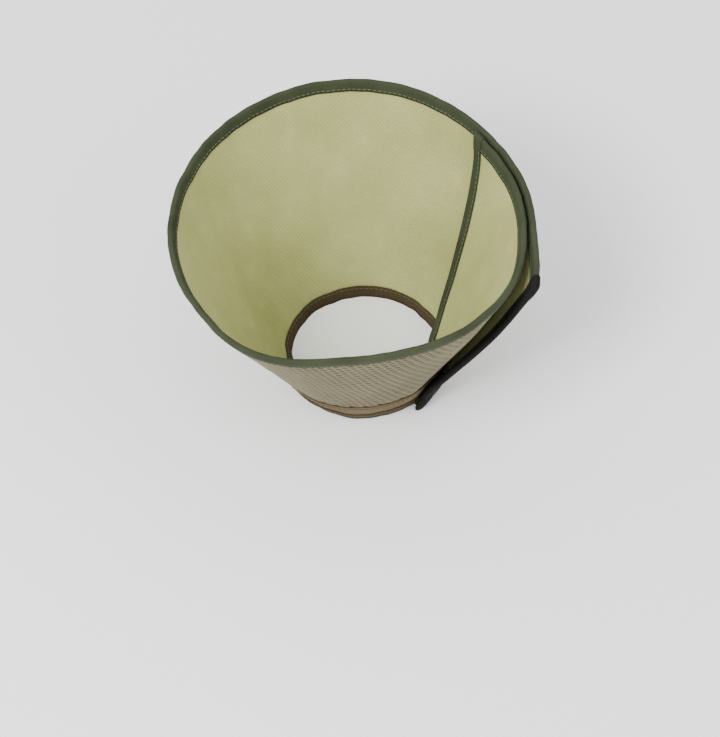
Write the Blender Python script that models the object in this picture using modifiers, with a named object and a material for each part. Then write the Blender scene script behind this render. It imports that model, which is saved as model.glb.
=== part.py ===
"""Mesh recovery collar: a fan-shaped panel of padded air mesh, rolled into a soft cone.

The two straight ends overlap and are held by a hook-and-loop strip between the layers. Tape is folded
over all four edges, and a plainer band goes round the narrow end. The collar stands on its narrow end
with the wide end up. Angles are measured round the upright axis from +X, towards +Y.
"""

import math

import bmesh
import bpy
from mathutils import Vector

# Driving dimensions, in metres. Diameters are across the middle of the wall, on its inner layer.
RIM_DIAMETER = 0.244
NECK_DIAMETER = 0.104
HEIGHT = 0.156
NECK_SHIFT = 0.010  # how far the narrow end sits towards +X of the wide end
PANEL_WALL = 0.0026
TAPE_WALL = 0.0006
TAPE_WIDTH = 0.009  # of each leg of a folded tape
BAND_WALL = 0.0012
BAND_HEIGHT = 0.023  # of its top above the floor
FASTENER_WIDTH = 0.022
FLAP_LIFT = 0.008  # how far the loose rim corner curls out
BELLY = 0.006  # how far the wall swells between its ends
THROAT = 0.35  # how much steeper the wall stands at the narrow end, as a share of its slope
CLEARANCE = 0.0003

# Driving angles, in degrees
FLAP_ANGLE = -24.0  # where the outer straight end lies
OVERLAP = 65.0  # how far the ends overlap
TWIST = 26.0  # how much further round both ends lie at the narrow end
LIFT_ANGLE = 26.0  # how much of the flap curls out
RAMP_MARGIN = 5.0  # the roll climbs from layer to layer this far clear of the ends
FASTENER_ANGLE = 16.0

# Columns: angle in degrees, radius added towards the rim and at the rim's lip alone, as shares of half
# RIM_DIAMETER, swell, as a share of BELLY, and rim drop, as a share of HEIGHT
OUTLINE = (
    (0.0, -0.010, 0.000, 0.3, 0.010),
    (30.0, -0.030, 0.000, 0.2, 0.000),
    (60.0, 0.000, 0.000, 0.0, 0.000),
    (90.0, 0.020, 0.000, 0.0, 0.000),
    (120.0, -0.005, 0.000, 0.2, 0.000),
    (150.0, -0.025, 0.000, 0.5, 0.000),
    (180.0, -0.010, 0.000, 0.6, 0.000),
    (210.0, 0.010, 0.015, 0.9, 0.000),
    (240.0, 0.025, 0.045, 1.0, 0.020),
    (270.0, -0.015, 0.000, 0.6, 0.000),
    (300.0, 0.000, 0.000, 0.4, 0.000),
    (330.0, 0.020, 0.000, 0.5, 0.020),
)
LIP_POWER = 5  # how near the rim the lip's share keeps

# How finely the shapes are cut
STEP_ANGLE = 5.0
WALL_ROWS = 14
BAND_ROWS = 2
STRIP_COLUMNS = 4

# What follows from the sizes
SLOPE = math.atan2((RIM_DIAMETER - NECK_DIAMETER) / 2, HEIGHT)
FULL_TURN = 360.0 + OVERLAP
TUCK_ANGLE = FLAP_ANGLE + OVERLAP
TAPE_OUT = PANEL_WALL / 2 + CLEARANCE + TAPE_WALL / 2
BAND_OUT = PANEL_WALL / 2 + CLEARANCE + BAND_WALL / 2
BANDED_TAPE_OUT = BAND_OUT + BAND_WALL / 2 + CLEARANCE + TAPE_WALL / 2
LAYER_STEP = BANDED_TAPE_OUT + TAPE_OUT + TAPE_WALL + CLEARANCE
FOLD_DEPTH = TAPE_OUT + TAPE_WALL / 2
EDGE_HEIGHT = TAPE_WALL + 2 * CLEARANCE + PANEL_WALL / 2 * math.sin(SLOPE)


def smooth(share):
    """Rises from 0 to 1 with level ends."""
    share = min(max(share, 0.0), 1.0)
    return share * share * (3.0 - 2.0 * share)


def outline(column, angle):
    """A column of OUTLINE at any angle, on a smooth closed curve through its rows."""
    place = angle % 360.0 / 360.0 * len(OUTLINE)
    row = int(place)
    part = place - row
    before, here, after, beyond = (OUTLINE[(row + i) % len(OUTLINE)][column] for i in (-1, 0, 1, 2))
    slope = after - before
    bend = 2.0 * before - 5.0 * here + 4.0 * after - beyond
    turn_back = 3.0 * (here - after) + beyond - before
    return here + part / 2.0 * (slope + part * (bend + part * turn_back))


def angle_at(turn, share):
    """Where a turn of the roll lies, at a share of the height."""
    return TUCK_ANGLE - turn - TWIST * (1.0 - share)


def rim_height(turn):
    """Height of the top of the rim."""
    return HEIGHT * (1.0 - outline(4, angle_at(turn, 1.0)))


def layer(turn):
    """How far out the roll has climbed over its own inner end."""
    start = OVERLAP + RAMP_MARGIN
    return LAYER_STEP * smooth((turn - start) / (360.0 - RAMP_MARGIN - start))


def lift(turn, share):
    """How far the loose end of the flap stands out, most of all at its rim corner."""
    loose = max(turn - FULL_TURN + LIFT_ANGLE, 0.0) / LIFT_ANGLE
    return FLAP_LIFT * loose**2 * share


def wall_radius(turn, height):
    """Radius of the middle of the wall, before the roll climbs over its own inner end."""
    share = height / HEIGHT
    angle = angle_at(turn, share)
    added = outline(1, angle) * share + outline(2, angle) * share**LIP_POWER
    swell = BELLY * outline(3, angle) * 4.0 * share * (1.0 - share)
    spread = share - THROAT * share * (1.0 - share) ** 2
    straight = NECK_DIAMETER / 2 + (RIM_DIAMETER - NECK_DIAMETER) / 2 * spread
    return straight + RIM_DIAMETER / 2 * added + swell + lift(turn, share) / math.cos(SLOPE)


def flat_point(turn, height):
    """A point on the middle of the wall, as it would be without climbing from layer to layer."""
    share = height / HEIGHT
    radius = wall_radius(turn, height)
    angle = math.radians(angle_at(turn, share))
    shift = NECK_SHIFT * (1.0 - share)
    return Vector((radius * math.cos(angle) + shift, radius * math.sin(angle), height))


def outwards(turn, height):
    """The direction square to the wall, away from the axis."""
    step_round, step_up = 0.5, HEIGHT / 100
    onwards = flat_point(turn + step_round, height) - flat_point(turn - step_round, height)
    upwards = flat_point(turn, height + step_up) - flat_point(turn, height - step_up)
    return upwards.cross(onwards).normalized()


def wall_point(turn, height, out=0.0, beyond=0.0):
    """A point of the rolled wall, or one that lies out from it.

    turn is in degrees along the roll from the inner end, height is that of the middle of the wall, out is
    the distance outwards square to the wall, and beyond is a distance along the roll past turn.
    """
    turn += math.degrees(beyond / wall_radius(turn, height))
    climbed = layer(turn)
    foot = height - climbed * outwards(turn, height).z
    return flat_point(turn, foot) + (climbed + out) * outwards(turn, foot)


def level_point(turn, height, out, beyond=0.0):
    """A point that lies out from the wall, at exactly a height."""
    point = wall_point(turn, height - out * outwards(turn, height).z, out, beyond)
    return Vector((point.x, point.y, height))


def below_rim(turn, down):
    """Height of the middle of the wall at a distance down it from the rim."""
    top = rim_height(turn)
    return top - down * outwards(turn, top).xy.length


def fold(sides=4):
    """Half round from one leg of a folded tape to the other, as distances past the edge and outwards."""
    angles = (math.pi * (i / sides - 0.5) for i in range(sides + 1))
    return [(TAPE_OUT * math.cos(a), TAPE_OUT * math.sin(a)) for a in angles]


def roll_steps():
    return round(FULL_TURN / STEP_ANGLE)


def finish(name, colour, roughness):
    """A plain material. colour is in linear red, green and blue."""
    material = bpy.data.materials.new(name)
    material.use_nodes = True
    shader = material.node_tree.nodes["Principled BSDF"]
    shader.inputs["Base Color"].default_value = (*colour, 1.0)
    shader.inputs["Roughness"].default_value = roughness
    shader.inputs["Metallic"].default_value = 0.0
    material.diffuse_color = (*colour, 1.0)
    return material


def cloth(name, columns, rows, place, thickness, material):
    """A cloth piece: a grid laid along the roll, each corner put where place says, given its thickness.

    place takes a corner's column and row.
    """
    shape = bmesh.new()
    bmesh.ops.create_grid(shape, x_segments=columns, y_segments=rows, size=0.5)
    for corner in shape.verts:
        corner.co = place(round((corner.co.x + 0.5) * columns), round((corner.co.y + 0.5) * rows))
    mesh = bpy.data.meshes.new(name)
    shape.to_mesh(mesh)
    shape.free()
    mesh.shade_smooth()
    mesh.set_sharp_from_angle(angle=math.radians(40.0))
    mesh.materials.append(material)
    piece = bpy.data.objects.new(name, mesh)
    wall = piece.modifiers.new("wall", "SOLIDIFY")
    wall.thickness = thickness
    wall.offset = 0.0
    wall.use_even_offset = True
    return piece


def cone_panel(material):
    """The padded mesh wall, from its inner end to its flap."""
    columns = roll_steps()

    def place(column, row):
        turn = FULL_TURN * column / columns
        top = below_rim(turn, FOLD_DEPTH)
        return wall_point(turn, EDGE_HEIGHT + (top - EDGE_HEIGHT) * row / WALL_ROWS)

    return cloth("cone_panel", columns, WALL_ROWS, place, PANEL_WALL, material)


def rim_binding(material):
    """Tape folded over the wide edge."""
    columns = roll_steps()
    section = [(TAPE_WIDTH, -TAPE_OUT)]
    section += [(FOLD_DEPTH - past, out) for past, out in fold()]
    section += [(TAPE_WIDTH, TAPE_OUT)]

    def place(column, row):
        turn = FULL_TURN * column / columns
        down, out = section[row]
        return wall_point(turn, below_rim(turn, down), out)

    return cloth("rim_binding", columns, len(section) - 1, place, TAPE_WALL, material)


def neck_binding(material):
    """Tape folded flat under the narrow edge, outside the band. The collar stands on it."""
    columns = roll_steps()
    section = (
        (TAPE_WIDTH, -TAPE_OUT),
        (TAPE_WALL / 2, -TAPE_OUT),
        (TAPE_WALL / 2, BANDED_TAPE_OUT),
        (TAPE_WIDTH, BANDED_TAPE_OUT),
    )

    def place(column, row):
        height, out = section[row]
        return level_point(FULL_TURN * column / columns, height, out)

    return cloth("neck_binding", columns, len(section) - 1, place, TAPE_WALL, material)


def neck_band(material):
    """The plain band round the outside of the narrow end, between the two end tapes."""
    columns = roll_steps()

    def place(column, row):
        height = EDGE_HEIGHT + (BAND_HEIGHT - EDGE_HEIGHT) * row / BAND_ROWS
        margin = math.degrees((TAPE_WIDTH + CLEARANCE) / wall_radius(0.0, height))
        return level_point(margin + (FULL_TURN - 2 * margin) * column / columns, height, BAND_OUT)

    return cloth("neck_band", columns, BAND_ROWS, place, BAND_WALL, material)


def end_binding(name, turn, side, material):
    """Tape folded over a straight end. side is 1 where the roll ends at turn, or -1 where it starts."""
    leg = FOLD_DEPTH - TAPE_WIDTH
    section = [(leg, -TAPE_OUT), (leg / 2, -TAPE_OUT)] + fold() + [(leg / 2, TAPE_OUT), (leg, TAPE_OUT)]

    def place(column, row):
        past, out = section[column]
        low = TAPE_WIDTH + 2 * CLEARANCE - out * outwards(turn, TAPE_WIDTH).z
        high = below_rim(turn, TAPE_WIDTH + 2 * CLEARANCE)
        return wall_point(turn, low + (high - low) * row / WALL_ROWS, out, side * past)

    return cloth(name, len(section) - 1, WALL_ROWS, place, TAPE_WALL, material)


def fastener_strip(material):
    """The hook-and-loop pair, one plain strip that fills the overlap beside the loose end."""
    turn = TUCK_ANGLE - FASTENER_ANGLE
    middle = LAYER_STEP / 2

    def place(column, row):
        low = BAND_HEIGHT + LAYER_STEP
        high = below_rim(turn, TAPE_WIDTH + 2 * CLEARANCE)
        beyond = FASTENER_WIDTH * (column / STRIP_COLUMNS - 0.5)
        return wall_point(turn, low + (high - low) * row / WALL_ROWS, middle, beyond)

    thickness = LAYER_STEP - PANEL_WALL - 2 * CLEARANCE
    return cloth("fastener_strip", STRIP_COLUMNS, WALL_ROWS, place, thickness, material)


def stand_on_origin(frame, pieces):
    """Moves the frame so that the box round the collar stands centred on the origin."""
    bpy.context.view_layer.update()
    graph = bpy.context.evaluated_depsgraph_get()
    corners = [corner.co for piece in pieces for corner in piece.evaluated_get(graph).data.vertices]
    middle = [(min(c[i] for c in corners) + max(c[i] for c in corners)) / 2 for i in (0, 1)]
    frame.location = (-middle[0], -middle[1], -min(c[2] for c in corners))


def main():
    for obj in list(bpy.data.objects):
        bpy.data.objects.remove(obj, do_unlink=True)
    mesh_cloth = finish("padded air mesh", (0.42, 0.40, 0.24), 0.9)
    green_tape = finish("dark green tape", (0.075, 0.095, 0.065), 0.8)
    black_tape = finish("near-black tape", (0.028, 0.024, 0.020), 0.8)
    brown_tape = finish("brown tape", (0.115, 0.087, 0.050), 0.85)
    band_cloth = finish("brown olive band", (0.205, 0.165, 0.107), 0.9)
    hook_and_loop = finish("hook and loop", (0.05, 0.05, 0.045), 0.95)
    pieces = (
        cone_panel(mesh_cloth),
        rim_binding(green_tape),
        end_binding("flap_binding", FULL_TURN, 1, black_tape),
        end_binding("tuck_binding", 0.0, -1, green_tape),
        neck_band(band_cloth),
        neck_binding(brown_tape),
        fastener_strip(hook_and_loop),
    )
    collar = bpy.data.collections.new("mesh_recovery_collar")
    bpy.context.scene.collection.children.link(collar)
    frame = bpy.data.objects.new("collar_frame", None)
    collar.objects.link(frame)
    for piece in pieces:
        collar.objects.link(piece)
        piece.parent = frame
    stand_on_origin(frame, pieces)


main()
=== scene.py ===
"""Looks of a mesh recovery collar: a fan of padded air mesh, rolled into a cone and bound with tape.

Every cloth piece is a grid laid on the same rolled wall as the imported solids. Angles are in degrees round
the upright axis from +X, towards +Y, and a turn is measured along the roll from its inner end.
"""

import bisect
import math

import bmesh
import bpy
from mathutils import Matrix, Vector, noise


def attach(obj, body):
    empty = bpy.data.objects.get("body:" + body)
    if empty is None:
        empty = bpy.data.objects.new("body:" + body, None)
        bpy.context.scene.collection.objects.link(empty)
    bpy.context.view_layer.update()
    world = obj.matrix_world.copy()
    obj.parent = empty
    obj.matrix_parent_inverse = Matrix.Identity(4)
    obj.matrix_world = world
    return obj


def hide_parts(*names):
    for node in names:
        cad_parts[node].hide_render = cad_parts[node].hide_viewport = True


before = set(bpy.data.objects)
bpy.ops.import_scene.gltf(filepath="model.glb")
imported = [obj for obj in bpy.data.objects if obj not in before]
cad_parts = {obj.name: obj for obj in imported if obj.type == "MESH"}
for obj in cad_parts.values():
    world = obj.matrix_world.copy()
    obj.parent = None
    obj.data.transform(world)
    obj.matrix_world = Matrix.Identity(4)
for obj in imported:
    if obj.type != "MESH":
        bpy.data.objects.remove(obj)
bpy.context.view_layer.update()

# The wall's sizes, in metres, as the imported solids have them
RIM_DIAMETER = 0.244
NECK_DIAMETER = 0.104
HEIGHT = 0.156
NECK_SHIFT = 0.010
PANEL_WALL = 0.0026
TAPE_WALL = 0.0006
TAPE_WIDTH = 0.009
BAND_WALL = 0.0012
BAND_HEIGHT = 0.023
FASTENER_WIDTH = 0.022
FLAP_LIFT = 0.008
BELLY = 0.006
THROAT = 0.35
CLEARANCE = 0.0003
AXIS_X = -0.0017646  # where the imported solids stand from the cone's own axis
AXIS_Y = -0.0042901
FLOOR_GAP = 0.000024

FLAP_ANGLE = -24.0
OVERLAP = 65.0
TWIST = 26.0
LIFT_ANGLE = 26.0
RAMP_MARGIN = 5.0
FASTENER_ANGLE = 16.0

# Columns: angle in degrees, radius added towards the rim and at the rim's lip alone, as shares of half
# RIM_DIAMETER, swell, as a share of BELLY, and rim drop, as a share of HEIGHT
OUTLINE = (
    (0.0, -0.010, 0.000, 0.3, 0.010),
    (30.0, -0.030, 0.000, 0.2, 0.000),
    (60.0, 0.000, 0.000, 0.0, 0.000),
    (90.0, 0.020, 0.000, 0.0, 0.000),
    (120.0, -0.005, 0.000, 0.2, 0.000),
    (150.0, -0.025, 0.000, 0.5, 0.000),
    (180.0, -0.010, 0.000, 0.6, 0.000),
    (210.0, 0.010, 0.015, 0.9, 0.000),
    (240.0, 0.025, 0.045, 1.0, 0.020),
    (270.0, -0.015, 0.000, 0.6, 0.000),
    (300.0, 0.000, 0.000, 0.4, 0.000),
    (330.0, 0.020, 0.000, 0.5, 0.020),
)
OUTLINE_ROUND = OUTLINE[-1:] + OUTLINE + OUTLINE[:2]
LIP_POWER = 5

# How the cloth strays from the smooth wall
RIPPLE = 0.0013
RIPPLE_ROUND = 2.6
RIPPLE_UP = 3.0
RIPPLE_FINER = 2.3  # how much tighter the second, weaker ripple is
RIPPLE_WEAKER = 0.4
PUCKER = 0.0005  # along the seams, at both ends of the wall
PUCKER_ROUND = 13.0  # at the rim
PUCKER_UP = 2.0

# The air mesh's cells, as the cloth lies flat
CELL_WIDTH = 0.0054
CELL_STRETCH = 1.25
CELL_RIDGE = 0.0006  # half of the ridge between two hollows
CELL_SLOPE = 0.0006
CELL_DEPTH = 0.0008
CELL_JOIN = CELL_WIDTH / 50  # corners of neighbouring cells this near become one
SPARE_ROWS = 2  # below the fan's centre, where its askew end may dip

# Weave and grain of the cloths
WALE_PITCH = 0.0021  # between the raised lines of the inner face
COURSE_SHARE = 0.6  # from one cross line to the next, as a share of that
INNER_RELIEF = 0.00035
MESH_GRAIN = 0.0011
MESH_RELIEF = 0.0003
TAPE_RIB = 0.0011
TAPE_YARN_SHARE = 0.55
TAPE_RELIEF = 0.00035
THREAD_RELIEF = 0.0001
GRAIN_STRETCH = 1.25
BAND_GRAIN = {"pitch": 0.0013, "depth": 0.0002}
HOOK_GRAIN = {"pitch": 0.0014, "depth": 0.0005}
LOOP_GRAIN = {"pitch": 0.0019, "depth": 0.0006}
CLOTH_SHINE = 0.15
THREAD_SHINE = 0.3

# Stitches
STITCH_LENGTH = 0.0029
STITCH_PITCH = 0.0037
STITCH_INSET = 0.0018  # from the tape's edge
THREAD = 0.0006
THREAD_FLATNESS = 0.8
BAND_STITCH_LENGTH = 0.0034
BAND_STITCH_PITCH = 0.0039
BAND_THREAD = 0.0009
BAND_SEAM_INSET = 0.0011  # from the band's top
BAND_SEAM_END = 0.01  # of the band's length, left free at each end
END_SEAM_FOOT = 0.01  # of an end tape's length, left free at its foot
END_SEAM_RUN = 0.97
SEAM_MARGIN = 3.0  # degrees from the ends of a seam along the roll
SEAM_SAMPLES = 300
BEAD_SIDES = 6
PROBE_OUT = 0.001  # a step out of the cloth that shows which way it faces
PROBE_IN = 0.0001

# How the end tapes lap over the others at the corners
LAP = TAPE_WALL + 0.00005
LAP_RUN = 0.005
LAP_START = 0.1  # how far past the other tape's edge, as a share of LAP_RUN
LEAN_SHARE = 0.15  # of an end tape's length, over which its foot keeps level with the floor
CLOSED = 0.94  # how far the tape closes over the rim
CLOSING_ROWS = 6
FLOOR_CLEARANCE = 0.0004

# How finely the cloth is cut
STEP_ANGLE = 1.25
WALL_ROWS = 56
BAND_ROWS = 12
FASTENER_COLUMNS = 12
LEG_STEPS = 3
FOLD_SIDES = 8

# What follows from the sizes
SLOPE = math.atan2((RIM_DIAMETER - NECK_DIAMETER) / 2, HEIGHT)
FULL_TURN = 360.0 + OVERLAP
TUCK_ANGLE = FLAP_ANGLE + OVERLAP
TAPE_OUT = PANEL_WALL / 2 + CLEARANCE + TAPE_WALL / 2
BAND_OUT = PANEL_WALL / 2 + CLEARANCE + BAND_WALL / 2
BANDED_TAPE_OUT = BAND_OUT + BAND_WALL / 2 + CLEARANCE + TAPE_WALL / 2
LAYER_STEP = BANDED_TAPE_OUT + TAPE_OUT + TAPE_WALL + CLEARANCE
FOLD_DEPTH = TAPE_OUT + TAPE_WALL / 2
EDGE_HEIGHT = TAPE_WALL + 2 * CLEARANCE + PANEL_WALL / 2 * math.sin(SLOPE)
SLANT = math.hypot(HEIGHT, (RIM_DIAMETER - NECK_DIAMETER) / 2)

# The fan that the panel is cut as, flat. Its ends are cut askew, because they twist round the cone
FAN_INNER = SLANT * NECK_DIAMETER / (RIM_DIAMETER - NECK_DIAMETER)
FAN_OUTER = FAN_INNER + SLANT
FAN_PER_TURN = RIM_DIAMETER / 2 / FAN_OUTER
FAN_SPREAD = math.radians(FULL_TURN + TWIST) * FAN_PER_TURN


# The rolled wall

def smooth(share):
    """Rises from 0 to 1 with level ends."""
    share = min(max(share, 0.0), 1.0)
    return share * share * (3.0 - 2.0 * share)


def outline(column, angle):
    """A column of OUTLINE at any angle, on a smooth closed curve through its rows."""
    place = angle % 360.0 / 360.0 * len(OUTLINE)
    row = int(place)
    part = place - row
    before, here, after, beyond = [spot[column] for spot in OUTLINE_ROUND[row:row + 4]]
    slope = after - before
    bend = 2.0 * before - 5.0 * here + 4.0 * after - beyond
    turn_back = 3.0 * (here - after) + beyond - before
    return here + part / 2.0 * (slope + part * (bend + part * turn_back))


def angle_at(turn, share):
    """Where a turn of the roll lies, at a share of the height."""
    return TUCK_ANGLE - turn - TWIST * (1.0 - share)


def rim_height(turn):
    """Height of the top of the rim."""
    return HEIGHT * (1.0 - outline(4, angle_at(turn, 1.0)))


def layer(turn):
    """How far out the roll has climbed over its own inner end."""
    start = OVERLAP + RAMP_MARGIN
    return LAYER_STEP * smooth((turn - start) / (360.0 - RAMP_MARGIN - start))


def lift(turn, share):
    """How far the loose end of the flap stands out, most of all at its rim corner."""
    loose = max(turn - FULL_TURN + LIFT_ANGLE, 0.0) / LIFT_ANGLE
    return FLAP_LIFT * loose**2 * share


def ripple(angle, share):
    """Soft unevenness of the wall, the same on both layers."""
    around = math.radians(angle)
    spot = Vector((RIPPLE_ROUND * math.cos(around), RIPPLE_ROUND * math.sin(around), RIPPLE_UP * share))
    broad = RIPPLE * (noise.noise(spot) + RIPPLE_WEAKER * noise.noise(RIPPLE_FINER * spot))
    # Puckers keep their pitch at the narrow end, and have faded out halfway up
    tight = PUCKER_ROUND if share > 0.5 else PUCKER_ROUND * NECK_DIAMETER / RIM_DIAMETER
    close = Vector((tight * math.cos(around), tight * math.sin(around), PUCKER_UP * share))
    return broad + PUCKER * (2.0 * share - 1.0) ** 4 * noise.noise(close)


def wall_radius(turn, height):
    """Radius of the middle of the wall, before the roll climbs over its own inner end."""
    share = height / HEIGHT
    angle = angle_at(turn, share)
    added = outline(1, angle) * share + outline(2, angle) * share**LIP_POWER
    swell = BELLY * outline(3, angle) * 4.0 * share * (1.0 - share)
    spread = share - THROAT * share * (1.0 - share) ** 2
    straight = NECK_DIAMETER / 2 + (RIM_DIAMETER - NECK_DIAMETER) / 2 * spread
    loose = lift(turn, share) / math.cos(SLOPE) + ripple(angle, share)
    return straight + RIM_DIAMETER / 2 * added + swell + loose


def flat_point(turn, height):
    """A point on the middle of the wall, as it would be without climbing from layer to layer."""
    share = height / HEIGHT
    radius = wall_radius(turn, height)
    angle = math.radians(angle_at(turn, share))
    shift = NECK_SHIFT * (1.0 - share)
    x = radius * math.cos(angle) + shift + AXIS_X
    y = radius * math.sin(angle) + AXIS_Y
    return Vector((x, y, height + FLOOR_GAP))


def outwards(turn, height):
    """The direction square to the wall, away from the axis."""
    step_round = 0.5
    step_up = HEIGHT / 100
    onwards = flat_point(turn + step_round, height) - flat_point(turn - step_round, height)
    upwards = flat_point(turn, height + step_up) - flat_point(turn, height - step_up)
    return upwards.cross(onwards).normalized()


def wall_point(turn, height, out=0.0, beyond=0.0):
    """A point of the rolled wall, or one that lies out from it.

    turn is in degrees along the roll from the inner end, height is that of the middle of the wall,
    out is the distance outwards square to the wall, and beyond is a distance along the roll past turn.
    """
    turn += math.degrees(beyond / wall_radius(turn, height))
    climbed = layer(turn)
    foot = height - climbed * outwards(turn, height).z
    return flat_point(turn, foot) + (climbed + out) * outwards(turn, foot)


def level_point(turn, height, out, beyond=0.0):
    """A point that lies out from the wall, at exactly a height."""
    point = wall_point(turn, height - out * outwards(turn, height).z, out, beyond)
    return Vector((point.x, point.y, height + FLOOR_GAP))


def below_rim(turn, down):
    """Height of the middle of the wall at a distance down it from the rim."""
    top = rim_height(turn)
    return top - down * outwards(turn, top).xy.length


def fold():
    """Half round from one leg of a folded tape to the other, as distances past the edge and outwards."""
    angles = (math.pi * (i / FOLD_SIDES - 0.5) for i in range(FOLD_SIDES + 1))
    return [(TAPE_OUT * math.cos(a), TAPE_OUT * math.sin(a)) for a in angles]


def roll_steps():
    """How many columns a sheet has that runs round the whole roll."""
    return round(FULL_TURN / STEP_ANGLE)


def fan_place(x, y):
    """Turn and share of the height of a point of the flat fan."""
    share = (math.hypot(x, y) - FAN_INNER) / SLANT
    turn = math.degrees(math.atan2(x, y) + FAN_SPREAD / 2) / FAN_PER_TURN - TWIST * (1.0 - share)
    return turn, share


def fan_point(flat):
    """Where a point of the flat fan lies once it is rolled. flat.z is the distance out from the wall."""
    turn, share = fan_place(flat.x, flat.y)
    turn = min(max(turn, 0.0), FULL_TURN)
    share = min(max(share, 0.0), 1.0)
    top = below_rim(turn, FOLD_DEPTH)
    return wall_point(turn, EDGE_HEIGHT + (top - EDGE_HEIGHT) * share, flat.z)


# Shader maths

class Wire:
    """A node's output. Arithmetic on it adds Math nodes."""

    def __init__(self, tree, socket):
        self.tree = tree
        self.socket = socket

    def node(self, kind, settings, inputs, output=0):
        """Adds a node of a type, with settings of its own and its sockets' values or links."""
        node = self.tree.nodes.new(kind)
        for name, value in settings.items():
            setattr(node, name, value)
        for name, value in inputs.items():
            if isinstance(value, Wire):
                self.tree.links.new(value.socket, node.inputs[name])
            else:
                node.inputs[name].default_value = value
        return Wire(self.tree, node.outputs[output])

    def math(self, operation, *values):
        return self.node("ShaderNodeMath", {"operation": operation}, dict(enumerate((self, *values))))

    def __add__(self, other):
        return self.math("ADD", other)

    __radd__ = __add__

    def __mul__(self, other):
        return self.math("MULTIPLY", other)

    __rmul__ = __mul__

    def __sub__(self, other):
        return self.math("SUBTRACT", other)

    def __rsub__(self, other):
        return self * -1.0 + other

    def waves(self, pitch):
        """One wave for each pitch of a length, from -1 to 1."""
        return (self * (2.0 * math.pi / pitch)).math("SINE")

    def between(self, low, high):
        """0 below low, 1 above high, and smooth in between."""
        settings = {"interpolation_type": "SMOOTHSTEP"}
        return self.node("ShaderNodeMapRange", settings, {"Value": self, 1: low, 2: high})

    def scaled(self, size):
        """A coordinate times a size in each direction."""
        settings = {"operation": "MULTIPLY"}
        return self.node("ShaderNodeVectorMath", settings, {0: self, 1: size})

    def axis(self, which):
        return self.node("ShaderNodeSeparateXYZ", {}, {0: self}, output=which)

    def noise(self, scale, detail=2.0):
        """Cloudy noise of a scale, from 0 to 1, read at this coordinate."""
        return self.node("ShaderNodeTexNoise", {}, {"Vector": self, "Scale": scale, "Detail": detail})

    def shade(self, dark, light):
        """A colour between two, by this value."""
        inputs = {"Factor": self, 6: (*dark, 1.0), 7: (*light, 1.0)}
        return self.node("ShaderNodeMix", {"data_type": "RGBA"}, inputs, output=2)


def blend_colour(share, first, second):
    """A colour between two colours that vary."""
    inputs = {"Factor": share, 6: first, 7: second}
    return share.node("ShaderNodeMix", {"data_type": "RGBA"}, inputs, output=2)


def linear(red, green, blue):
    """A colour seen on a screen, 0 to 255, as the shader takes it."""
    def channel(value):
        value /= 255.0
        return value / 12.92 if value <= 0.04045 else ((value + 0.055) / 1.055) ** 2.4
    return tuple(channel(value) for value in (red, green, blue))


class Finish:
    """A cloth material under way: its shader, and the coordinates that its pattern reads."""

    def __init__(self, name):
        self.material = bpy.data.materials.new(name)
        self.material.use_nodes = True
        tree = self.material.node_tree
        self.shader = tree.nodes["Principled BSDF"]
        start = Wire(tree, None)
        self.place = start.node("ShaderNodeTexCoord", {}, {}, output="Object")
        self.cloth = start.node("ShaderNodeUVMap", {"uv_map": "cloth"}, {})
        self.tree = tree

    def set(self, **values):
        """Gives the shader's sockets a value or a link. An underline stands for a space."""
        for name, value in values.items():
            socket = self.shader.inputs[name.replace("_", " ")]
            if isinstance(value, Wire):
                self.tree.links.new(value.socket, socket)
            else:
                socket.default_value = value

    def relief(self, height, distance):
        """Bump from a height of 0 to 1, over a distance in metres."""
        inputs = {"Height": height, "Distance": distance, "Strength": 1.0}
        self.set(Normal=height.node("ShaderNodeBump", {}, inputs))


def tape_cloth(name, dark, light):
    """Ribbed tape: ribs across it, and slow changes of tone."""
    finish = Finish(name)
    ribs = finish.cloth.axis("X").waves(TAPE_RIB) * 0.5 + 0.5
    yarn = finish.cloth.axis("Y").waves(TAPE_RIB * TAPE_YARN_SHARE) * 0.5 + 0.5
    weave = ribs * 0.65 + yarn * 0.35
    cloud = finish.place.noise(38.0, 3.0)
    fuzz = finish.place.noise(900.0, 2.0)
    tone = weave * 0.45 + cloud * 0.6 + fuzz * 0.25 - 0.15
    finish.set(Base_Color=tone.shade(dark, light), Roughness=0.72 + fuzz * 0.2)
    finish.set(Specular_IOR_Level=CLOTH_SHINE)
    finish.relief(weave * 0.8 + fuzz * 0.2, TAPE_RELIEF)
    return finish.material


def knit_grain(finish, pitch):
    """Fine two-way grain of a knit, from 0 to 1, along the cloth's own map."""
    wales = finish.cloth.axis("X").waves(pitch)
    courses = finish.cloth.axis("Y").waves(pitch * GRAIN_STRETCH)
    return wales * courses * 0.5 + 0.5


def air_mesh(name, hollow_shade_colour, dark, light):
    """The outer face of padded air mesh: knitted ridges round hollows, which have painted shade in their
    colour.
    """
    finish = Finish(name)
    hollow = finish.cloth.node("ShaderNodeAttribute", {"attribute_name": "hollow"}, {}, output="Fac")
    loops = knit_grain(finish, MESH_GRAIN)
    cloud = finish.place.noise(22.0, 3.0)
    streak = finish.place.scaled((1.0, 1.0, 0.25)).noise(60.0, 2.0)
    fuzz = finish.place.noise(800.0, 2.0)
    tone = loops * 0.35 + cloud * 0.5 + streak * 0.3 + fuzz * 0.25 - 0.2
    # Painted shade: the hollows' colour is darker than the ridges', going from the ridge colours to the
    # darker shade colours
    deep_shade = hollow.between(0.1, 1.0)
    base = blend_colour(deep_shade, tone.shade(dark, light), fuzz.shade(hollow_shade_colour, dark))
    finish.set(Base_Color=base, Roughness=0.82 + fuzz * 0.14)
    finish.set(Specular_IOR_Level=CLOTH_SHINE)
    finish.relief(loops * 0.7 + fuzz * 0.3, MESH_RELIEF)
    return finish.material


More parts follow.
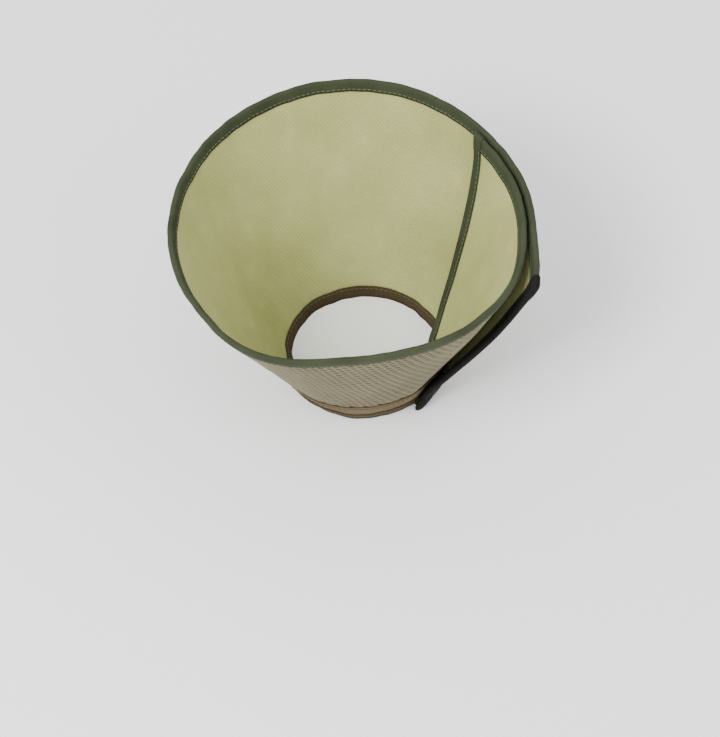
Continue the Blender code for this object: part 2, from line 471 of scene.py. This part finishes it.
def inner_knit(name, dark, light):
    """The smooth inner face: raised wales along the cloth, crossed by fine courses."""
    finish = Finish(name)
    wander = finish.place.noise(90.0, 2.0) * 0.0009
    wales = (finish.cloth.axis("X") + wander).waves(WALE_PITCH) * 0.5 + 0.5
    courses = finish.cloth.axis("Y").waves(WALE_PITCH * COURSE_SHARE) * 0.5 + 0.5
    cloud = finish.place.noise(16.0, 4.0)
    worn = finish.place.noise(60.0, 3.0).between(0.5, 0.8)
    fuzz = finish.place.noise(650.0, 2.0)
    loops = wales * 0.6 + courses * 0.25 + wales * courses * 0.15
    tone = loops * 0.28 + cloud * 0.6 + fuzz * 0.22 + worn * 0.1 - 0.08
    finish.set(Base_Color=tone.shade(dark, light), Roughness=0.84 + fuzz * 0.12)
    finish.set(Specular_IOR_Level=CLOTH_SHINE)
    finish.relief(loops * 0.75 + fuzz * 0.25, INNER_RELIEF)
    return finish.material


def thread(name, dark, light):
    """Twisted sewing thread."""
    finish = Finish(name)
    twist = finish.place.noise(1400.0, 1.0)
    cloud = finish.place.noise(45.0, 2.0)
    tone = twist * 0.7 + cloud * 0.4 - 0.05
    finish.set(Base_Color=tone.shade(dark, light), Roughness=0.55 + twist * 0.2)
    finish.set(Specular_IOR_Level=THREAD_SHINE)
    finish.relief(twist, THREAD_RELIEF)
    return finish.material


def knit_cloth(name, dark, light, pitch, depth):
    """Plain knitted or woven cloth with a fine two-way grain."""
    finish = Finish(name)
    grain = knit_grain(finish, pitch)
    cloud = finish.place.noise(24.0, 3.0)
    fuzz = finish.place.noise(700.0, 2.0)
    tone = grain * 0.3 + cloud * 0.75 + fuzz * 0.2 - 0.1
    finish.set(Base_Color=tone.shade(dark, light), Roughness=0.8 + fuzz * 0.15)
    finish.set(Specular_IOR_Level=CLOTH_SHINE)
    finish.relief(grain * 0.7 + fuzz * 0.3, depth)
    return finish.material


# Making cloth

def grid_sheet(columns, rows, place):
    """A mesh grid with each corner put where place says, and a cloth map in metres along and across."""
    shape = bmesh.new()
    bmesh.ops.create_grid(shape, x_segments=columns, y_segments=rows, size=0.5)
    spots = {}
    for corner in shape.verts:
        spot = (round((corner.co.x + 0.5) * columns), round((corner.co.y + 0.5) * rows))
        corner.co = place(*spot)
        spots[spot] = corner
    along = [0.0]
    for column in range(columns):
        step = spots[column + 1, rows // 2].co - spots[column, rows // 2].co
        along.append(along[-1] + step.length)
    across = [0.0]
    for row in range(rows):
        step = spots[columns // 2, row + 1].co - spots[columns // 2, row].co
        across.append(across[-1] + step.length)
    cloth_map = shape.loops.layers.uv.new("cloth")
    for (column, row), corner in spots.items():
        for loop in corner.link_loops:
            loop[cloth_map].uv = (along[column], across[row])
    return shape, (along[-1], across[-1])


def show(name, shape, *materials):
    """Makes a shape a smooth piece of the collar."""
    mesh = bpy.data.meshes.new(name)
    shape.to_mesh(mesh)
    shape.free()
    mesh.shade_smooth()
    for material in materials:
        mesh.materials.append(material)
    piece = bpy.data.objects.new(name, mesh)
    bpy.context.scene.collection.objects.link(piece)
    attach(piece, "root")
    return piece


def thicken(piece, thickness):
    """Gives a sheet its thickness, half to each side."""
    wall = piece.modifiers.new("wall", "SOLIDIFY")
    wall.thickness = thickness
    wall.offset = 0.0
    wall.use_even_offset = True
    return piece


def stamp(shape, pattern, place):
    """Adds a copy of a pattern mesh to a shape, at a place."""
    copy = pattern.copy()
    copy.transform(place)
    shape.from_mesh(copy)
    bpy.data.meshes.remove(copy)


def pattern_mesh(make, **sizes):
    """A small mesh to stamp, from one bmesh operator."""
    shape = bmesh.new()
    make(shape, **sizes)
    mesh = bpy.data.meshes.new("pattern")
    shape.to_mesh(mesh)
    shape.free()
    return mesh


def stitch_row(name, seam, material, slot, length=STITCH_LENGTH, pitch=STITCH_PITCH, width=THREAD):
    """A row of stitches. seam takes a share of the row and a distance out of the cloth."""
    points = [seam(i / SEAM_SAMPLES, 0.0) for i in range(SEAM_SAMPLES + 1)]
    travelled = [0.0]
    for before, after in zip(points, points[1:]):
        travelled.append(travelled[-1] + (after - before).length)

    def share_at(distance):
        step = bisect.bisect_left(travelled, distance, 1, SEAM_SAMPLES)
        part = (distance - travelled[step - 1]) / (travelled[step] - travelled[step - 1])
        return (step - 1 + part) / SEAM_SAMPLES

    sides = {"u_segments": BEAD_SIDES, "v_segments": BEAD_SIDES}
    bead = pattern_mesh(bmesh.ops.create_uvsphere, radius=0.5, **sides)
    shape = bmesh.new()
    for stitch in range(int(travelled[-1] / pitch)):
        start = stitch * pitch + (pitch - length) / 2
        first = seam(share_at(start), 0.0)
        last = seam(share_at(start + length), 0.0)
        middle = share_at(start + length / 2)
        rise = (seam(middle, PROBE_OUT) - seam(middle, 0.0)).normalized()
        along = (last - first).normalized()
        side = rise.cross(along).normalized()
        turned = Matrix((side, along.cross(side), along)).transposed().to_4x4()
        size = Matrix.Diagonal((width, width * THREAD_FLATNESS, (last - first).length, 1.0))
        place = Matrix.Translation((first + last) / 2) @ turned @ size
        stamp(shape, bead, place)
    row = show(name, shape, material)
    return row


# Pieces

def honeycomb():
    """The flat fan as a slab of staggered cells, hollowed on its outer side."""
    shape = bmesh.new()
    radius = CELL_WIDTH / math.sqrt(3.0)
    row_step = 1.5 * radius * CELL_STRETCH
    stretch = Matrix.Diagonal((1.0, CELL_STRETCH, 1.0, 1.0))
    cell = pattern_mesh(bmesh.ops.create_circle, cap_ends=True, segments=6, radius=radius)
    columns = round(FAN_OUTER / CELL_WIDTH) + 1
    for row in range(-SPARE_ROWS, round(FAN_OUTER / row_step) + 1):
        for column in range(-columns, columns + 1):
            centre = ((column + row % 2 / 2) * CELL_WIDTH, row * row_step)
            turn, share = fan_place(*centre)
            if 0.0 <= turn <= FULL_TURN and 0.0 <= share <= 1.0:
                place = Matrix.Translation((*centre, -PANEL_WALL / 2)) @ stretch
                stamp(shape, cell, place)
    bmesh.ops.remove_doubles(shape, verts=shape.verts, dist=CELL_JOIN)
    raised = bmesh.ops.extrude_face_region(shape, geom=shape.faces[:], use_keep_orig=True)["geom"]
    corners = [part for part in raised if isinstance(part, bmesh.types.BMVert)]
    bmesh.ops.translate(shape, verts=corners, vec=(0.0, 0.0, PANEL_WALL))
    bmesh.ops.recalc_face_normals(shape, faces=shape.faces)
    for face in shape.faces:
        face.material_index = 0 if face.normal.z > 0.5 else 1
    cells = [face for face in shape.faces if face.normal.z > 0.5]
    bmesh.ops.inset_individual(shape, faces=cells, thickness=CELL_RIDGE)
    bmesh.ops.inset_individual(shape, faces=cells, thickness=CELL_SLOPE, depth=-CELL_DEPTH)
    hollow = shape.verts.layers.float.new("hollow")
    for cell in cells:
        for corner in cell.verts:
            corner[hollow] = 1.0
    return shape


def mesh_panel(outside, inside):
    """The padded wall, cut flat and then rolled."""
    shape = honeycomb()
    cloth_map = shape.loops.layers.uv.new("cloth")
    for corner in shape.verts:
        for loop in corner.link_loops:
            loop[cloth_map].uv = corner.co.xy
        corner.co = fan_point(corner.co)
    panel = show("mesh_panel", shape, outside, inside)
    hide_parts("cone_panel")


def leg(start, end):
    """Even steps from one edge of a tape's leg to the fold, without the fold's own."""
    return [start + (end - start) * i / LEG_STEPS for i in range(LEG_STEPS)]


def rim_tape(material, sewing):
    """Tape folded over the wide edge."""
    columns = roll_steps()
    inner = [(down, -TAPE_OUT) for down in leg(TAPE_WIDTH, FOLD_DEPTH)]
    outer = [(down, TAPE_OUT) for down in leg(TAPE_WIDTH, FOLD_DEPTH)]
    section = inner + [(FOLD_DEPTH - past, out) for past, out in fold()] + outer[::-1]

    def place(column, row):
        turn = FULL_TURN * column / columns
        down, out = section[row]
        return wall_point(turn, below_rim(turn, down), out)

    shape, flat = grid_sheet(columns, len(section) - 1, place)
    tape = thicken(show("rim_tape", shape, material), TAPE_WALL)
    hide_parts("rim_binding")
    for name, side in (("rim_stitches_inside", -1), ("rim_stitches_outside", 1)):
        def seam(share, out, side=side):
            turn = SEAM_MARGIN + (FULL_TURN - 2 * SEAM_MARGIN) * share
            level = below_rim(turn, TAPE_WIDTH - STITCH_INSET)
            return wall_point(turn, level, side * (TAPE_OUT + TAPE_WALL / 2 + out))
        stitch_row(name, seam, sewing, "green_tape")


def neck_tape(material, sewing):
    """Tape folded under the narrow edge, outside the band."""
    columns = roll_steps()
    low = TAPE_WALL / 2
    heights = leg(TAPE_WIDTH, low) + [low]
    section = [(height, -TAPE_OUT) for height in heights]
    section += [(height, BANDED_TAPE_OUT) for height in reversed(heights)]

    def place(column, row):
        height, out = section[row]
        return level_point(FULL_TURN * column / columns, height, out)

    shape, flat = grid_sheet(columns, len(section) - 1, place)
    tape = thicken(show("neck_tape", shape, material), TAPE_WALL)
    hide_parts("neck_binding")
    for name, middle, side in (("inside", TAPE_OUT, -1), ("outside", BANDED_TAPE_OUT, 1)):
        def seam(share, out, middle=middle, side=side):
            turn = 2 * SEAM_MARGIN + (FULL_TURN - 4 * SEAM_MARGIN) * share
            return level_point(turn, TAPE_WIDTH - STITCH_INSET, side * (middle + TAPE_WALL / 2 + out))
        stitch_row("neck_stitches_" + name, seam, sewing, "brown_tape")


def band(material, sewing):
    """The plain band round the outside of the narrow end, with a hem at its top."""
    columns = roll_steps()

    def band_turn(share, height):
        margin = math.degrees((TAPE_WIDTH + CLEARANCE) / wall_radius(0.0, height))
        return margin + (FULL_TURN - 2 * margin) * share

    def place(column, row):
        height = EDGE_HEIGHT + (BAND_HEIGHT - EDGE_HEIGHT) * row / BAND_ROWS
        return level_point(band_turn(column / columns, height), height, BAND_OUT)

    shape, flat = grid_sheet(columns, BAND_ROWS, place)
    cloth = thicken(show("band_cloth", shape, material), BAND_WALL)
    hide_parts("neck_band")

    def seam(share, out):
        height = BAND_HEIGHT - BAND_SEAM_INSET
        along = BAND_SEAM_END + (1.0 - 2 * BAND_SEAM_END) * share
        return level_point(band_turn(along, height), height, BAND_OUT + BAND_WALL / 2 + out)

    sizes = {"length": BAND_STITCH_LENGTH, "pitch": BAND_STITCH_PITCH, "width": BAND_THREAD}
    stitches = stitch_row("band_stitches", seam, sewing, "band_cloth", **sizes)


def end_tape(name, node, slot, turn, side, material, sewing):
    """Tape folded over a straight end. side is 1 where the roll ends at turn, or -1 where it starts.

    The leg that shows, outside at the flap and inside at the tucked end, runs down over the neck tape.
    Both legs lap over the rim tape and close over its fold.
    """
    over_neck = BANDED_TAPE_OUT + LAP if side > 0 else TAPE_OUT + LAP
    legs = leg(FOLD_DEPTH - TAPE_WIDTH, 0.0)
    section = [(past, -TAPE_OUT) for past in legs] + fold() + [(past, TAPE_OUT) for past in legs[::-1]]
    hidden_low = TAPE_WIDTH + 2 * CLEARANCE
    lapped = (TAPE_OUT + LAP) / TAPE_OUT
    top = below_rim(turn, FOLD_DEPTH)

    def place(past, out, share):
        """share is 0 at the floor, 1 where the tape starts to close over the rim, and 2 at its end."""
        seen = 0.5 + 0.5 * side * out / TAPE_OUT
        low = hidden_low + (FLOOR_CLEARANCE - hidden_low) * smooth(seen)
        closing = math.pi / 2 * CLOSED * max(share - 1.0, 0.0)
        height = low + (top - low) * min(share, 1.0)
        from_top = (top - height) / outwards(turn, HEIGHT / 2).xy.length
        over_rim = 1.0 - smooth((from_top + FOLD_DEPTH - TAPE_WIDTH) / LAP_RUN - LAP_START)
        spread = 1.0 + (lapped - 1.0) * over_rim
        if seen > 0.5:
            over = 1.0 - smooth((height - TAPE_WIDTH) / LAP_RUN - LAP_START)
            spread += (over_neck / TAPE_OUT - 1.0) * over * (2.0 * seen - 1.0)
        if share > 1.0:
            height += below_rim(turn, FOLD_DEPTH - (TAPE_OUT + LAP) * math.sin(closing)) - top
        past *= spread if past > 0.0 else 1.0
        out *= spread * math.cos(closing)
        lean = out * outwards(turn, TAPE_WIDTH).z * (1.0 - smooth(share / LEAN_SHARE))
        return wall_point(turn, height - lean, out, side * past)

    def place_corner(column, row):
        past, out = section[column]
        share = row / WALL_ROWS if row <= WALL_ROWS else 1.0 + (row - WALL_ROWS) / CLOSING_ROWS
        return place(past, out, share)

    shape, flat = grid_sheet(len(section) - 1, WALL_ROWS + CLOSING_ROWS, place_corner)
    tape = thicken(show(name, shape, material), TAPE_WALL)
    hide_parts(node)
    for where, face in (("inside", -1), ("outside", 1)):
        def seam(share, out, face=face):
            past = FOLD_DEPTH - TAPE_WIDTH + STITCH_INSET
            along = END_SEAM_FOOT + END_SEAM_RUN * share
            spot = place(past, face * TAPE_OUT, along)
            beneath = place(past, face * (TAPE_OUT - PROBE_IN), along)
            return spot + (spot - beneath).normalized() * (TAPE_WALL / 2 + out)
        stitch_row(f"{name}_stitches_{where}", seam, sewing, slot)


def fastener(hooks, loops):
    """The hook strip under the flap and the loop strip on the inner layer, pressed together."""
    turn = TUCK_ANGLE - FASTENER_ANGLE
    thickness = (LAYER_STEP - PANEL_WALL - 2 * CLEARANCE) / 2
    for name, side, material in (("loop_strip", -1, loops), ("hook_strip", 1, hooks)):
        def place(column, row, side=side):
            low = BAND_HEIGHT + LAYER_STEP
            high = below_rim(turn, TAPE_WIDTH + 2 * CLEARANCE)
            beyond = FASTENER_WIDTH * (column / FASTENER_COLUMNS - 0.5)
            level = low + (high - low) * row / WALL_ROWS
            return wall_point(turn, level, LAYER_STEP / 2 + side * thickness / 2, beyond)
        shape, flat = grid_sheet(FASTENER_COLUMNS, WALL_ROWS, place)
        strip = thicken(show(name, shape, material), thickness)
    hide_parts("fastener_strip")


# Camera, floor and light

CAMERA_RISE = 50.0  # degrees above the horizon
CAMERA_AWAY = 2.0
FRAME_WIDTH = 720
FRAME_HEIGHT = 737
RIM_PIXEL = (350.0, 219.0)
FOCAL_PIXELS = 2900.0
SENSOR = 36.0

FLOOR_REACH = 6.0
FLOOR_TONE = 0.88
FLOOR_ROUGHNESS = 0.9
SURROUND_STRENGTH = 1.5

# Columns: name, place in metres, width of its disk in metres, and power in watts
LAMPS = (
    ("key", (-0.9, -1.0, 1.6), 0.9, 48.0),
    ("fill", (1.4, -0.6, 1.2), 1.2, 8.0),
)


def set_camera():
    """Looks at the rim's middle so that it lands where the photograph has it."""
    target = Vector((AXIS_X, AXIS_Y, HEIGHT))
    rise = math.radians(CAMERA_RISE)
    back = Vector((0.0, -math.cos(rise), math.sin(rise)))
    data = bpy.data.cameras.new("photo_camera")
    data.sensor_width = SENSOR
    data.lens = FOCAL_PIXELS * SENSOR / FRAME_HEIGHT
    camera = bpy.data.objects.new("photo_camera", data)
    bpy.context.scene.collection.objects.link(camera)
    camera.location = target + CAMERA_AWAY * back
    across = (RIM_PIXEL[0] - FRAME_WIDTH / 2) / FOCAL_PIXELS
    down = (RIM_PIXEL[1] - FRAME_HEIGHT / 2) / FOCAL_PIXELS
    aim = (-back).to_track_quat("-Z", "Y").to_matrix()
    turned = Matrix.Rotation(math.atan(across), 3, "Y") @ Matrix.Rotation(math.atan(down), 3, "X")
    camera.rotation_euler = (aim @ turned).to_euler()
    bpy.context.scene.camera = camera


def set_floor():
    """A plain pale floor."""
    shape = bmesh.new()
    bmesh.ops.create_grid(shape, x_segments=1, y_segments=1, size=FLOOR_REACH)
    mesh = bpy.data.meshes.new("floor")
    shape.to_mesh(mesh)
    shape.free()
    floor = bpy.data.objects.new("floor", mesh)
    bpy.context.scene.collection.objects.link(floor)
    material = bpy.data.materials.new("pale floor")
    material.use_nodes = True
    shader = material.node_tree.nodes["Principled BSDF"]
    shader.inputs["Base Color"].default_value = (FLOOR_TONE, FLOOR_TONE, FLOOR_TONE, 1.0)
    shader.inputs["Roughness"].default_value = FLOOR_ROUGHNESS
    mesh.materials.append(material)


def set_light():
    """A large soft lamp from the upper left, and an even pale surround."""
    world = bpy.data.worlds.new("studio")
    bpy.context.scene.world = world
    world.use_nodes = True
    surround = world.node_tree.nodes["Background"]
    surround.inputs["Color"].default_value = (1.0, 1.0, 1.0, 1.0)
    surround.inputs["Strength"].default_value = SURROUND_STRENGTH
    for name, place, size, power in LAMPS:
        data = bpy.data.lights.new(name, "AREA")
        data.shape = "DISK"
        data.size = size
        data.energy = power
        lamp = bpy.data.objects.new(name, data)
        bpy.context.scene.collection.objects.link(lamp)
        lamp.location = place
        aim = Vector((0.0, 0.0, HEIGHT / 2)) - Vector(place)
        lamp.rotation_euler = aim.to_track_quat("-Z", "Y").to_euler()


def main():
    """Makes the stage, the materials and then every piece."""
    set_camera()
    set_floor()
    set_light()
    # The outer air mesh's first colour is painted shade in its hollows. Its ridge colours are darker and a
    # little browner than the lime inner cloth's, though both faces are the same cloth: partly the air
    # mesh's own tone, partly painted shade of the outside of the wall
    outside = air_mesh("outer air mesh", linear(76, 70, 52), linear(98, 92, 71), linear(142, 136, 112))
    inside = inner_knit("lime inner cloth", linear(125, 127, 66), linear(189, 191, 132))
    green = tape_cloth("dark green tape", linear(24, 28, 18), linear(70, 77, 54))
    black = tape_cloth("near-black tape", linear(8, 7, 6), linear(30, 27, 24))
    brown = tape_cloth("brown tape", linear(36, 28, 16), linear(84, 72, 50))
    olive = knit_cloth("brown olive band", linear(66, 56, 38), linear(122, 108, 80), **BAND_GRAIN)
    hooks = knit_cloth("hooks", linear(20, 20, 18), linear(50, 50, 46), **HOOK_GRAIN)
    loops = knit_cloth("loops", linear(28, 28, 24), linear(60, 60, 52), **LOOP_GRAIN)
    green_thread = thread("green thread", linear(44, 50, 38), linear(120, 128, 100))
    black_thread = thread("black thread", linear(14, 13, 12), linear(64, 60, 54))
    brown_thread = thread("brown thread", linear(50, 42, 28), linear(118, 104, 78))
    seam_thread = thread("dark seam thread", linear(16, 13, 8), linear(52, 46, 32))
    mesh_panel(outside, inside)
    rim_tape(green, green_thread)
    end_tape("flap_tape", "flap_binding", "black_tape", FULL_TURN, 1, black, black_thread)
    end_tape("tuck_tape", "tuck_binding", "green_tape", 0.0, -1, green, green_thread)
    neck_tape(brown, brown_thread)
    band(olive, seam_thread)
    fastener(hooks, loops)


main()
